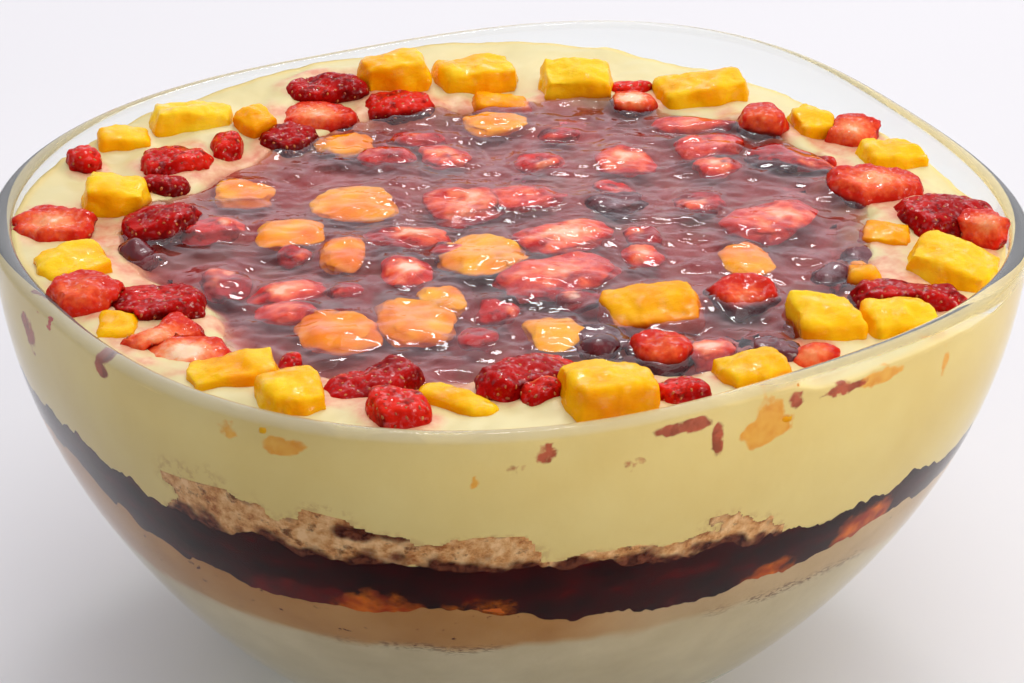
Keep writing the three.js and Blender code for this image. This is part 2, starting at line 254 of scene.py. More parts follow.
# ---- finishes
class Finish:
    # a node material, with short words for the nodes that the finishes share
    def __init__(self, name):
        self.material = bpy.data.materials.new(name)
        self.material.use_nodes = True
        self.nodes = self.material.node_tree.nodes
        self.links = self.material.node_tree.links
        self.shader = self.nodes["Principled BSDF"]
        self.output = self.nodes["Material Output"]
        self.place = self.nodes.new("ShaderNodeTexCoord").outputs["Object"]

    def set(self, socket, value):
        # a socket takes a link, a colour or a number
        if isinstance(value, bpy.types.NodeSocket):
            self.links.new(value, socket)
        elif hasattr(value, "__len__") and len(socket.default_value) == 4:
            socket.default_value = (*value, 1)
        else:
            socket.default_value = value

    def stretch(self, x, y, z):
        mapping = self.nodes.new("ShaderNodeMapping")
        mapping.inputs["Scale"].default_value = (x, y, z)
        self.set(mapping.inputs["Vector"], self.place)
        return mapping.outputs["Vector"]

    def noise(self, size, detail=3.0, roughness=0.5, place=None):
        node = self.nodes.new("ShaderNodeTexNoise")
        node.inputs["Scale"].default_value = 1 / size
        node.inputs["Detail"].default_value = detail
        node.inputs["Roughness"].default_value = roughness
        self.set(node.inputs["Vector"], place or self.place)
        return node.outputs["Fac"]

    def painted(self, name):
        node = self.nodes.new("ShaderNodeAttribute")
        node.attribute_name = name
        return node.outputs["Fac"]

    def ramp(self, factor, *stops):
        # stops are (place, colour) or (place, grey value)
        node = self.nodes.new("ShaderNodeValToRGB")
        ramp = node.color_ramp
        while len(ramp.elements) < len(stops):
            ramp.elements.new(0.5)
        for element, (place, colour) in zip(ramp.elements, stops):
            element.position = place
            element.color = (*colour, 1) if hasattr(colour, "__len__") else (colour, colour, colour, 1)
        self.set(node.inputs["Fac"], factor)
        return node.outputs["Color"]

    def mix(self, factor, a, b, kind="MIX"):
        node = self.nodes.new("ShaderNodeMix")
        node.data_type = "RGBA"
        node.blend_type = kind
        sockets = [s for s in node.inputs if s.enabled]
        for socket, value in zip(sockets, (factor, a, b)):
            self.set(socket, value)
        return next(s for s in node.outputs if s.enabled)

    def maths(self, kind, a, b=0.0):
        node = self.nodes.new("ShaderNodeMath")
        node.operation = kind
        self.set(node.inputs[0], a)
        self.set(node.inputs[1], b)
        return node.outputs["Value"]

    def swing(self, amount, *noise):
        # noise that goes above and below 0
        return self.maths("MULTIPLY", self.maths("SUBTRACT", self.noise(*noise), 0.5), amount)

    def bump(self, height, strength, distance=0.001):
        node = self.nodes.new("ShaderNodeBump")
        node.inputs["Strength"].default_value = strength
        node.inputs["Distance"].default_value = distance
        self.set(node.inputs["Height"], height)
        self.set(self.shader.inputs["Normal"], node.outputs["Normal"])

    def put(self, **values):
        # shader sockets by name, with _ for a space
        for key, value in values.items():
            self.set(self.shader.inputs[key.replace("_", " ")], value)

    def soak(self, colour, density):
        # tints what is seen through the thickness of a clear piece
        absorb = self.nodes.new("ShaderNodeVolumeAbsorption")
        absorb.inputs["Color"].default_value = (*colour, 1)
        absorb.inputs["Density"].default_value = density
        self.set(self.output.inputs["Volume"], absorb.outputs["Volume"])

    def clearToLamps(self, tint):
        # lamps shine through the surface, so that what lies behind it is lit
        through = self.nodes.new("ShaderNodeBsdfTransparent")
        through.inputs["Color"].default_value = (*tint, 1)
        path = self.nodes.new("ShaderNodeLightPath")
        blend = self.nodes.new("ShaderNodeMixShader")
        self.set(blend.inputs["Fac"], path.outputs["Is Shadow Ray"])
        self.set(blend.inputs[1], self.shader.outputs["BSDF"])
        self.set(blend.inputs[2], through.outputs["BSDF"])
        self.set(self.output.inputs["Surface"], blend.outputs["Shader"])


def glassFinish():
    f = Finish("clearGlass")
    smudge = f.ramp(f.noise(0.05, 4), (0.4, 0.0), (0.75, 0.03))
    clear = f.maths("SUBTRACT", 1.0, f.painted("paintedRimLight"))
    # painted light: a pale, milky colour on the rim and the bare wall stands in for the light seen in the
    # thick clear glass
    tint = f.mix(f.painted("paintedRimLight"), (0.98, 1.0, 0.985), (0.42, 0.45, 0.35))
    f.put(Base_Color=tint, Transmission_Weight=clear, IOR=1.33, Roughness=smudge, Specular_Tint=(0, 0, 0))
    f.soak((0.72, 0.90, 0.80), 7)
    f.clearToLamps((0.95, 0.97, 0.96))
    return f.material


def creamFinish():
    f = Finish("baseCream")
    cloud = f.noise(0.02, 4, 0.55)
    # painted reflection: the pale colour stands for the pale floor seen in the glass over the lower cream;
    # the brown is the soaked cream
    pale = f.ramp(cloud, (0.3, (0.60, 0.47, 0.29)), (0.7, (0.73, 0.59, 0.39)))
    brown = f.ramp(cloud, (0.3, (0.45, 0.20, 0.06)), (0.7, (0.56, 0.28, 0.10)))
    crumbs = f.ramp(f.noise(0.003, 4, 0.6), (0.66, 0.0), (0.72, 1.0))
    colour = f.mix(f.painted("soaked"), pale, brown)
    crumbs = f.maths("MULTIPLY", crumbs, f.painted("soaked"))
    fine = f.ramp(f.noise(0.0016, 4, 0.6, place=f.stretch(1, 1, 2.5)), (0.48, 0.0), (0.58, 0.85))
    crumbs = f.maths("MAXIMUM", crumbs, f.maths("MULTIPLY", fine, f.painted("seam")))
    colour = f.mix(crumbs, colour, (0.10, 0.02, 0.015))
    f.put(Base_Color=colour, Roughness=0.7, Specular_IOR_Level=0.0)
    f.bump(f.noise(0.004, 3), 0.2)
    return f.material


def custardFinish():
    f = Finish("custard")
    cloud = f.noise(0.03, 4, 0.55)
    # partly painted shade: against the glass the custard gets a separately tuned, more saturated copy of its
    # colour, matched to how that side is lit
    top = f.ramp(cloud, (0.3, (0.72, 0.61, 0.28)), (0.7, (0.77, 0.68, 0.35)))
    side = f.ramp(cloud, (0.3, (0.79, 0.59, 0.22)), (0.7, (0.85, 0.67, 0.28)))
    juice = f.ramp(f.noise(0.004, 4, 0.6), (0.35, (0.85, 0.50, 0.30)), (0.65, (0.72, 0.16, 0.10)))
    colour = f.mix(f.painted("atGlass"), top, side)
    colour = f.mix(f.painted("juice"), colour, juice)
    patchy = f.noise(0.0035, 4, 0.6)
    torn = f.swing(1.3, 0.0026, 4, 0.65)
    shows = lambda name: f.ramp(f.maths("ADD", f.painted(name), torn), (0.30, 0.0), (0.62, 0.92))
    crumbs = f.ramp(f.noise(0.0022, 4, 0.6), (0.47, 0.0), (0.60, 0.75))
    colour = f.mix(f.maths("MULTIPLY", f.painted("crumbNear"), crumbs), colour, (0.55, 0.30, 0.13))
    orange = f.ramp(patchy, (0.3, (0.78, 0.28, 0.02)), (0.7, (0.88, 0.45, 0.07)))
    red = f.ramp(patchy, (0.35, (0.20, 0.006, 0.006)), (0.65, (0.52, 0.07, 0.04)))
    colour = f.mix(shows("mangoBehind"), colour, orange)
    colour = f.mix(shows("redBehind"), colour, red)
    rough = f.ramp(f.painted("atGlass"), (0.0, 0.38), (1.0, 0.9))
    f.put(Base_Color=colour, Roughness=rough, Specular_IOR_Level=0.3)
    f.bump(f.noise(0.006, 3), 0.15)
    return f.material


def bandFinish():
    f = Finish("redBand")
    cloud = f.noise(0.012, 5, 0.6, place=f.stretch(1, 1, 2))
    dark = f.ramp(cloud, (0.35, (0.012, 0.0003, 0.0006)), (0.6, (0.040, 0.0006, 0.001)),
                  (0.8, (0.13, 0.002, 0.002)))
    bright = f.ramp(f.noise(0.006, 4, 0.6), (0.3, (0.03, 0.0006, 0.0006)), (0.65, (0.15, 0.002, 0.002)))
    colour = f.mix(f.painted("lit"), dark, bright)
    torn = f.swing(1.0, 0.003, 5, 0.7)
    over = f.ramp(f.maths("ADD", f.painted("overMango"), torn), (0.25, 0.0), (0.80, 0.95))
    orange = f.ramp(f.noise(0.005, 4), (0.35, (0.36, 0.03, 0.001)), (0.65, (0.80, 0.17, 0.004)))
    colour = f.mix(over, colour, orange)
    f.put(Base_Color=colour, Roughness=0.4, Specular_IOR_Level=0.0)
    return f.material


def spongeFinish():
    f = Finish("sponge")
    crumb = f.noise(0.0035, 6, 0.7)
    dry = f.ramp(crumb, (0.32, (0.36, 0.10, 0.03)), (0.46, (0.70, 0.34, 0.13)), (0.62, (0.92, 0.58, 0.30)))
    wet = f.ramp(f.noise(0.0022, 5, 0.7), (0.40, (0.035, 0.004, 0.003)), (0.62, (0.22, 0.06, 0.03)))
    spots = f.ramp(f.noise(0.0045, 5, 0.65), (0.56, 0.0), (0.66, 0.85))
    wetness = f.maths("MAXIMUM", f.painted("soaked"), spots)
    f.put(Base_Color=f.mix(wetness, dry, wet), Roughness=0.9, Specular_IOR_Level=0.0)
    f.bump(f.noise(0.002, 4), 0.6)
    return f.material


def poolFinish():
    f = Finish("poolJelly")
    f.put(Base_Color=(1.0, 0.96, 0.98), Transmission_Weight=1.0, IOR=1.4,
          Roughness=f.ramp(f.noise(0.01, 3), (0.3, 0.03), (0.8, 0.09)))
    f.clearToLamps((1, 1, 1))
    f.soak((0.82, 0.52, 0.60), 180)
    return f.material


def mangoFinish():
    f = Finish("mango")
    # the painted tone: yellower on upward faces as painted light, deeper orange on downward ones
    tone = f.maths("ADD", f.painted("tone"), f.swing(0.7, 0.007, 4, 0.55))
    colour = f.ramp(tone, (0.0, (0.82, 0.20, 0.002)), (0.35, (0.93, 0.33, 0.001)),
                    (0.65, (0.97, 0.46, 0.002)), (1.0, (0.98, 0.60, 0.015)))
    colour = f.mix(f.painted("glaze"), colour, (0.50, 0.05, 0.01))
    wet = f.ramp(f.noise(0.004, 4, 0.6), (0.54, 0.0), (0.64, 0.7))
    f.put(Base_Color=colour, Roughness=f.ramp(f.noise(0.003, 3), (0.3, 0.14), (0.7, 0.3)),
          Specular_IOR_Level=0.06, Coat_Weight=wet, Coat_Roughness=0.12,
          Subsurface_Weight=0.35, Subsurface_Scale=0.004, Subsurface_Radius=(1.0, 0.45, 0.1))
    f.bump(f.noise(0.0025, 4, 0.6, place=f.stretch(1, 2.5, 3)), 0.35, 0.0006)
    return f.material


def strawberryFinish():
    f = Finish("strawberry")
    # the skin follows the painted tone, lighter on upward faces as painted light
    skin = f.ramp(f.maths("ADD", f.painted("tone"), f.maths("MULTIPLY", f.noise(0.006, 3), 0.4)),
                  (0.15, (0.17, 0.001, 0.001)), (0.5, (0.44, 0.003, 0.002)), (0.9, (0.72, 0.018, 0.006)))
    # painted shade: dark specks over the skin stand in for the shade in its small hollows
    shadeSpots = f.ramp(f.noise(0.0034, 4, 0.65), (0.52, 0.0), (0.66, 0.75))
    skin = f.mix(shadeSpots, skin, (0.09, 0.0005, 0.0005))
    core = f.maths("ADD", f.painted("core"), f.swing(0.9, 0.0025, 4, 0.6))
    flesh = f.ramp(core, (0.05, (0.60, 0.018, 0.006)), (0.35, (0.82, 0.11, 0.03)),
                   (0.65, (0.90, 0.30, 0.12)), (0.95, (0.94, 0.64, 0.42)))
    colour = f.mix(f.painted("flesh"), skin, flesh)
    colour = f.mix(f.painted("glaze"), colour, (0.12, 0.004, 0.006))
    wet = f.ramp(f.noise(0.0013, 3, 0.6), (0.53, 0.0), (0.62, 1.0))
    f.put(Base_Color=colour, Roughness=0.3, Specular_IOR_Level=0.04, Coat_Weight=wet, Coat_Roughness=0.1,
          Subsurface_Weight=0.2, Subsurface_Scale=0.003, Subsurface_Radius=(1.0, 0.25, 0.12))
    f.bump(f.noise(0.0016, 3), 0.3, 0.0005)
    return f.material


def cherryFinish():
    f = Finish("darkBerry")
    colour = f.ramp(f.noise(0.006, 3), (0.3, (0.035, 0.001, 0.003)), (0.7, (0.16, 0.004, 0.008)))
    f.put(Base_Color=colour, Roughness=f.ramp(f.noise(0.003, 3), (0.3, 0.1), (0.7, 0.3)))
    f.bump(f.noise(0.003, 3), 0.3, 0.0008)
    return f.material


def seedFinish():
    f = Finish("strawberrySeed")
    colour = f.ramp(f.noise(0.004, 2), (0.35, (0.34, 0.04, 0.01)), (0.65, (0.62, 0.20, 0.04)))
    f.put(Base_Color=colour, Roughness=0.35)
    return f.material


# ---- the glass
glass = {
    "columns": 288,
    "sideRings": 30,
    "rimRings": 8,
    "rimFrom": 0.985,       # share of the height where the rounding of the rim starts
    "paintedRimLight": (0.02, 0.14),  # how strongly the bare wall and its rim are painted milky pale, as painted light standing in for the light seen in the thick clear glass
}


def makeGlass():
    print("the glass bowl")
    rimFrom, floor = glass["rimFrom"], bowl["floorHeight"]
    side = (1 - np.cos(np.linspace(0, np.pi / 2, glass["sideRings"]))) * rimFrom
    over = np.linspace(0, 1, glass["rimRings"])
    # the part that a row is on, and how far along it: 0 foot, 1 outside, 2 rim, 3 inside, 4 floor
    rings = [(0, (0, 0.9)), (1, side), (2, over), (3, side[::-1]), (4, (0.9, 0))]
    table = np.array([(part, t) for part, along in rings for t in along])

    def place(row, angle):
        t = row[:, 1]
        parts = [row[:, 0] == part for part in range(4)]
        rim = rimHeight(angle)
        topOut, topIn = outerRadius(rimFrom, angle), innerRadius(rimFrom, angle)
        low = floor + rimFrom * (rim - floor)
        turn = np.pi * t
        middle, half = (topOut + topIn) / 2, (topOut - topIn) / 2
        radius = np.select(parts, [
            t * outerRadius(0.0, angle), outerRadius(t, angle), middle + half * np.cos(turn),
            innerRadius(t, angle)], t * innerRadius(0.0, angle))
        height = np.select(parts, [
            0 * t, t * rim, low + (rim - low) * np.sin(turn), floor + t * (rim - floor)], floor + 0 * t)
        return radius, height

    piece = turnedPiece("glassBowl", glass["columns"], table, place)
    x, y, z = pointsOf(piece).T
    angle = np.arctan2(y, x)
    # painted light: the rim, and faintly the wall above the custard, are painted pale in place of the light
    # that the clear glass carries
    above = smooth((z - around(layers["fillEdge"], angle) + 0.001) / 0.004)
    edge = smooth((z - rimHeight(angle) + 0.0019) / 0.0014)
    paint(piece, "paintedRimLight", glass["paintedRimLight"][0] * above + glass["paintedRimLight"][1] * edge)
    return settle(piece, glassFinish(), ["bowl"])


# ---- the layers, each one reaching a little into the wall
reach = {"cream": 0.00025, "custard": 0.0003, "sponge": 0.0004, "band": 0.00045}


def layerRows(floor, count, top):
    # rows of a layer: 0 to 1 out over its floor, 1 to 2 up its side, 2 to 3 in over its top
    return np.array(floor + list(1 + np.arange(count) / (count - 1)) + top)


def layerRadius(row, wall, floorWall):
    return np.where(row < 1, row * floorWall, np.where(row <= 2, wall, wall * (3 - row)))


cream = {
    "columns": 512,
    "rows": 40,
    "intoFloor": 0.0002,
    "intoBand": 0.0015,
    "seam": 0.054,           # height where its pale part, a painted reflection of the floor, ends
    "seamWave": (0.004, 2.3),
    "seamRough": 0.0015,
    "seamWidth": 0.0013,     # of the line of crumbs along it
    "paleLitSide": (-118, 22, -20, 20, 0.55),   # painted light and reflection: paler towards the lit front and right, between these directions: start, rise, end, fall, how much
}


def makeCream():
    print("the base cream")
    table = layerRows([0.0, 0.6, 0.9], cream["rows"], [2.4, 3.0])

    def place(row, angle):
        x, y = np.cos(angle), np.sin(angle)
        floor = bowl["floorHeight"] - cream["intoFloor"]
        at = wallAt(0.07, angle)
        top = redBase(at * x, at * y) + cream["intoBand"]
        z = floor + (top - floor) * np.clip(row - 1, 0, 1)
        wall = wallAt(z, angle) + reach["cream"]
        return layerRadius(row, wall, wallAt(floor, angle)), np.where(row < 1, floor, z)

    piece = turnedPiece("creamLayer", cream["columns"], table, place)
    x, y, z = pointsOf(piece).T
    angle = np.arctan2(y, x)
    wave, turn = cream["seamWave"]
    edge = cream["seam"] + wave * np.cos(angle + turn) + cream["seamRough"] * rough(x, y, z, 0.012, 41, 3)
    # painted reflection and light: pale below the seam, where the glass shows the pale floor, and paler
    # towards the lit front and right; brown above the seam, where the cream is soaked
    start, rise, end, fall, share = cream["paleLitSide"]
    paleLitSide = smooth((np.degrees(angle) - start) / rise) * smooth((end - np.degrees(angle)) / fall)
    paint(piece, "soaked", smooth((z - edge) / 0.003 + 0.5) * (1 - share * paleLitSide))
    crumbs = smooth(1.2 * rough(x, y, z, 0.02, 42, 3) + 0.4)
    paint(piece, "seam", np.exp(-((z - edge) / cream["seamWidth"]) ** 2) * crumbs)
    return settle(piece, creamFinish(), ["base_cream"])


band = {
    "columns": 900,
    "rows": 40,
    "drip": 0.0024,            # how uneven its two edges are
    "hem": 0.0008,             # how far its mango stays above its lower edge
    "lit": (-146, 8, 0.073),   # where light comes through it: direction, half-width in degrees, height
    "sag": (-146, 26, 0.0018),   # where it hangs lower: direction, half-width in degrees, how far
    "glow": {"band_mango_02": 0.45},   # how much of a piece of mango shows through it
}


def bandEdges(angle, x, y):
    middle, half, sag = band["sag"]
    low = redBase(x, y) + band["drip"] * rough(x, y, 0, 0.012, 5, 5, 0.6)
    low = low - sag * smooth(1.5 * (1 - turnBetween(np.degrees(angle), middle) / half))
    high = redTop(x, y) + band["drip"] * rough(x, y, 0, 0.010, 9, 5, 0.6)
    return low, high


def makeBand():
    print("the red band")
    table = layerRows([0.0, 0.5], band["rows"], [2.5, 3.0])

    def place(row, angle):
        at = wallAt(0.075, angle)
        low, high = bandEdges(angle, at * np.cos(angle), at * np.sin(angle))
        z = low + (high - low) * np.clip(row - 1, 0, 1)
        wall = wallAt(z, angle) + reach["band"]
        return layerRadius(row, wall, wall), z

    piece = turnedPiece("redBand", band["columns"], table, place)
    x, y, z = pointsOf(piece).T
    middle, half, height = band["lit"]
    degrees = np.degrees(np.arctan2(y, x))
    away = turnBetween(degrees, middle) / half
    spot = 1.25 - away ** 2 - (np.abs(z - height) / 0.005) ** 2 + 0.8 * rough(x, y, z, 0.006, 43, 3)
    paint(piece, "lit", smooth(spot))
    over = np.zeros_like(x)
    for node, (atX, atY), _ in standingPieces(("band_mango",)):
        low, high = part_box(node)
        away = np.radians(turnBetween(degrees, math.degrees(math.atan2(atY, atX))))
        u, v = away * np.hypot(x, y) / 0.012, (z + 0.001 - (low[2] + high[2]) / 2) / (high[2] - low[2])
        shape = smooth((1.1 - u ** 2 - v ** 2 + 0.25 * rough(x, y, z, 0.005, 49, 3)) / 1.1)
        over = np.maximum(over, band["glow"].get(node, 0.85) * shape)
    paint(piece, "overMango", over)
    return settle(piece, bandFinish(), ["red_jelly"])


sponge = {
    "columns": 960,
    "rows": 60,
    "intoBand": 0.003,
    "over": 0.002,      # how far it goes on above its top at the glass
    "inset": 0.006,     # how far it stays behind the glass between its patches
    # where it comes out to the glass: direction, half-width in degrees, height over the band
    "patches": [
        (-153.5, 8.0, 0.016), (-138.5, 8.5, 0.013), (-123.5, 11.0, 0.0085),
        (-109, 11.5, 0.005), (-116.5, 4.0, 0.0035), (-91.5, 9.0, 0.010),
    ],
    # jelly that ran into the crumb: direction, half-width, height, thickness
    "streak": (-135, 6, 0.097, 0.0028),
}


def spongeShape(angle, z):
    # above 0 where the sponge shows at the glass
    x, y = 0.11 * np.cos(angle), 0.11 * np.sin(angle)
    base = redTop(x, y)
    shape = -9 * np.ones_like(z)
    for middle, half, height in sponge["patches"]:
        across = turnBetween(np.degrees(angle), middle) / half
        up = np.maximum(z - base, 0) / height
        shape = np.maximum(shape, 1 - across ** 2 - up ** 2)
    return shape + 0.6 * rough(x, y, z, 0.008, 21, 4, 0.5)


def makeSponge():
    print("the sponge")
    table = layerRows([0.0, 0.5], sponge["rows"], [2.5, 3.0])

    def place(row, angle):
        x, y = np.cos(angle), np.sin(angle)
        at = wallAt(0.085, angle)
        low = redTop(at * x, at * y) - sponge["intoBand"]
        high = layerHeight("spongeTop", at * x, at * y, 0.0016, 3) + sponge["over"]
        z = low + (high - low) * np.clip(row - 1, 0, 1)
        out = smooth(spongeShape(angle, z) / 0.12)
        wall = wallAt(z, angle) + reach["sponge"] - sponge["inset"] * (1 - out)
        return layerRadius(row, wall, wall), z

    piece = turnedPiece("spongeLayer", sponge["columns"], table, place)
    x, y, z = pointsOf(piece).T
    angle = np.arctan2(y, x)
    middle, half, height, thick = sponge["streak"]
    along = turnBetween(np.degrees(angle), middle) / half
    streak = 1.2 - along ** 4 - (np.abs(z - height + 0.002 * along) / thick) ** 2
    streak = streak + 0.9 * rough(x, y, z, 0.005, 45, 3)
    edge = 0.75 - spongeShape(angle, z) / 0.32 + 0.6 * rough(x, y, z, 0.004, 47, 3)
    low = 1 - (z - redTop(x, y)) / 0.0035 + 0.9 * rough(x, y, z, 0.005, 48, 3)
    paint(piece, "soaked", np.maximum(np.maximum(smooth(streak), smooth(low)), 0.7 * smooth(edge)))
    return settle(piece, spongeFinish(), ["sponge"])


# ---- the pool of jelly, and the fruit that it covers
pool = {
    "columns": 640,
    "underRows": 6,
    "overRows": 122,
    # every 22.5 degrees from +X
    "radius": [.097, .085, .082, .070, .074, .072, .081, .097,
               .088, .095, .090, .077, .090, .092, .088, .088],
    "overlap": 1.08,       # how far it goes on into the custard
    "bank": (1.03, 0.13),  # share of the radius where its bank starts, and how wide that is
    "depth": 0.009,
    "proud": 0.0008,
    "ripple": 0.00075,
    "skin": 0.00035,       # thickness of jelly over the fruit just under it
}

# fruit just under the jelly: middle x and y, length and width in mm, turn in degrees
sunk = {
    "mango": [
        (-52, 46, 14, 15, -34), (-29, 27, 20, 18, -29), (-53, 18, 15, 14, -15), (-47, 2, 10, 17, -29),
        (-15, 62, 13, 15, -23), (-66, -33, 16, 20, -18), (-49, -36, 17, 22, -32), (-38, -30, 10, 14, -23),
        (-24, -58, 13, 16, -20), (37, -48, 11, 14, -12), (-16, -14, 17, 22, -55), (60, -67, 7, 12, -3),
        (27, 53, 16, 12, -20), (-14, -20, 9, 10, -20),
    ],
    "strawberry": [
        (-6, 13, 19, 20, -14), (-27, 3, 20, 10, -26), (-38, -14, 11, 15, -18), (-78, 2, 11, 17, -18),
        (-68, -9, 16, 10, -5), (-72, -19, 13, 10, -33), (-8, -33, 28, 20, 3), (5, -15, 23, 18, -2),
        (9, 8, 18, 14, -21), (23, -24, 8, 10, -11), (18, -32, 9, 11, -22), (45, 17, 14, 16, -57),
        (57, -33, 25, 18, 13), (86, -4, 26, 13, -44), (70, 13, 18, 14, -6), (5, 42, 14, 14, -12),
        (-69, 29, 15, 11, -16), (63, 1, 11, 10, -15), (74, 28, 20, 9, -25), (2, -82, 11, 9, 5),
        (39, 39, 11, 8, -32), (-40, -51, 8, 9, -32), (24, 26, 12, 9, -32), (47, -15, 12, 11, -32),
        (-10, 48, 12, 9, -32), (-29, -41, 9, 10, -32), (-55, -15, 7, 6, -32), (4, 54, 15, 9, -32),
        (-57, 8, 7, 7, -32), (33, 3, 10, 9, -32), (-10, -46, 10, 9, -32), (-23, -8, 8, 7, -32),
    ],
    "berry": [(29, -4, 15, 11, 6), (66, -59, 11, 9, -23), (-16, -65, 12, 12, -10), (51, -64, 7, 10, -75)],
    "cut": 20,             # the later strawberries are whole scraps
    "cuts": 13,
    "corner": 2.6,
    "uneven": 0.3,
    "high": 0.007,
    "lift": 0.0008,        # rounds its top off under the jelly, with the next value
    "soft": 0.0009,
    "swell": 0.0013,       # how far the jelly rises over a piece
    "ring": 0.00022,       # the low ridge round some of them
}


def outlineShare(x, y, middle, half, turn=0.0):
    # 0 in the middle of a piece and 1 on its outline
    c, s = math.cos(turn), math.sin(turn)
    dx, dy = x - middle[0], y - middle[1]
    u, v = (c * dx + s * dy) / half[0], (c * dy - s * dx) / half[1]
    return (np.abs(u) ** 3 + np.abs(v) ** 3) ** (1 / 3)


def sunkPieces():
    for kind in ("mango", "strawberry", "berry"):
        for i, (x, y, long, wide, turn) in enumerate(sunk[kind]):
            yield kind, i, (x * mm, y * mm), (long * mm / 2, wide * mm / 2), math.radians(turn)


def standingPieces(kinds=("mango", "strawberry", "cherry")):
    # the pieces that stand out of the top, from their nodes
    for node in sorted(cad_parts):
        if node.startswith(kinds):
            low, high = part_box(node)
            middle = ((low[0] + high[0]) / 2, (low[1] + high[1]) / 2)
            yield node, middle, ((high[0] - low[0]) / 2, (high[1] - low[1]) / 2)


def chance(seed):
    return math.sin(seed * 127.1 + 11.7) * 43758.5453 % 1


def poolRadius(angle):
    return around(pool["radius"], angle)


def poolShare(x, y):
    ragged = 1 + 0.03 * rough(x, y, 0, 0.016, 51, 3)
    return np.hypot(x, y) / (poolRadius(np.arctan2(y, x)) * ragged)


def custardTop(x, y):
    start, width = pool["bank"]
    dip = pool["depth"] * smooth((start - poolShare(x, y)) / width)
    u, v = 0.94 * x + 0.34 * y, 0.94 * y - 0.34 * x
    spread = 0.0007 * rough(u / 1.8, v, 0, 0.010, 3, 3)
    pushed = np.zeros_like(x)
    for node, middle, half in standingPieces():
        pushed = np.maximum(pushed, smooth((1.5 - outlineShare(x, y, middle, half)) / 0.55))
    return fillTop(x, y) - dip + spread + 0.0010 * pushed


custard = {
    "columns": 640,
    "sideRows": 44,
    "topRows": 92,
    "intoBand": 0.001,
}

# fruit that shows faintly through the custard at the glass: kind, direction in degrees, height of its middle,
# its width and height in mm, how strong it is
seenThroughCustard = [
    ("strawberry", -101.5, 115.8, 15, 4.0, 0.85), ("strawberry", -97.3, 110, 3.6, 10, 0.9),
    ("strawberry", -79, 113.6, 17, 3.0, 0.8), ("strawberry", -168, 118, 6, 4.5, 0.8),
    ("strawberry", 173, 110, 9, 11, 0.85), ("strawberry", -118, 116, 4, 5, 0.6),
    ("mango", -90.4, 111, 14, 12, 0.9), ("mango", -73, 113.5, 13, 4, 0.8),
    ("mango", -61.5, 109.5, 3.5, 10, 0.8), ("mango", -125.3, 110, 2.4, 4, 0.9),
    ("mango", -156, 118.5, 7, 4, 0.8), ("mango", -150, 117.0, 8, 5.5, 0.8),
    ("mango", -144, 116.5, 9, 5, 0.8), ("mango", 35, 108, 8, 7, 0.8), ("strawberry", 75, 109, 6, 5, 0.8),
    ("mango", 120, 110, 8, 7, 0.8), ("strawberry", 15, 106, 6, 5, 0.8), ("strawberry", 150, 108, 8, 6, 0.8),
    ("strawberry", -121, 113, 7, 2.6, 0.4), ("strawberry", -108, 110, 6, 3, 0.4),
    ("strawberry", -86, 115, 4, 4, 0.7),
]


def makeCustard():
    print("the custard")
    top = custard["topRows"]
    table = layerRows([0.0, 0.5], custard["sideRows"], list(2 + (np.arange(top) + 1) / top))

    def place(row, angle):
        x, y = np.cos(angle), np.sin(angle)
        at = wallAt(0.08, angle)
        low = redTop(at * x, at * y) - custard["intoBand"]
        edge = wallAt(0.115, angle)
        high = custardTop(edge * x, edge * y)
        z = low + (high - low) * np.clip(row - 1, 0, 1)
        wall = wallAt(z, angle) + reach["custard"]
        r = wall * (3 - row)
        return layerRadius(row, wall, wall), np.where(row > 2, custardTop(r * x, r * y), z)

    piece = turnedPiece("custardLayer", custard["columns"], table, place)
    x, y, z = pointsOf(piece).T
    angle = np.arctan2(y, x)
    share = np.hypot(x, y) / wallAt(z, angle)
    outside = share > 0.985
    paint(piece, "atGlass", smooth((share - 0.985) / 0.012))
    stained = 0.8 * smooth((1.17 - poolShare(x, y)) / 0.13)
    for node, middle, half in standingPieces(("strawberry", "cherry")):
        stained = np.maximum(stained, 0.75 * smooth((1.42 - outlineShare(x, y, middle, half)) / 0.4))
    patchy = smooth(0.75 + 0.9 * rough(x, y, z, 0.007, 53, 3))
    paint(piece, "juice", np.where(share < 0.985, stained * patchy, 0))
    behind = {kind: np.zeros_like(x) for kind in ("mango", "strawberry")}
    for i, (kind, degrees, height, wide, high, strength) in enumerate(seenThroughCustard):
        u = np.radians(turnBetween(np.degrees(angle), degrees)) * np.hypot(x, y) / (wide * mm / 2)
        v = (z - height * mm) / (high * mm / 2)
        blob = smooth((1.3 - u ** 2 - v ** 2 + 0.7 * rough(x, y, z, 0.005, 130 + i, 3)) / 1.1)
        behind[kind] = np.maximum(behind[kind], strength * blob * outside)
    paint(piece, "crumbNear", 0.6 * smooth((spongeShape(angle, z) + 0.3) / 0.5) * outside)
    paint(piece, "mangoBehind", behind["mango"])
    paint(piece, "redBehind", behind["strawberry"])
    return settle(piece, custardFinish(), ["custard"])


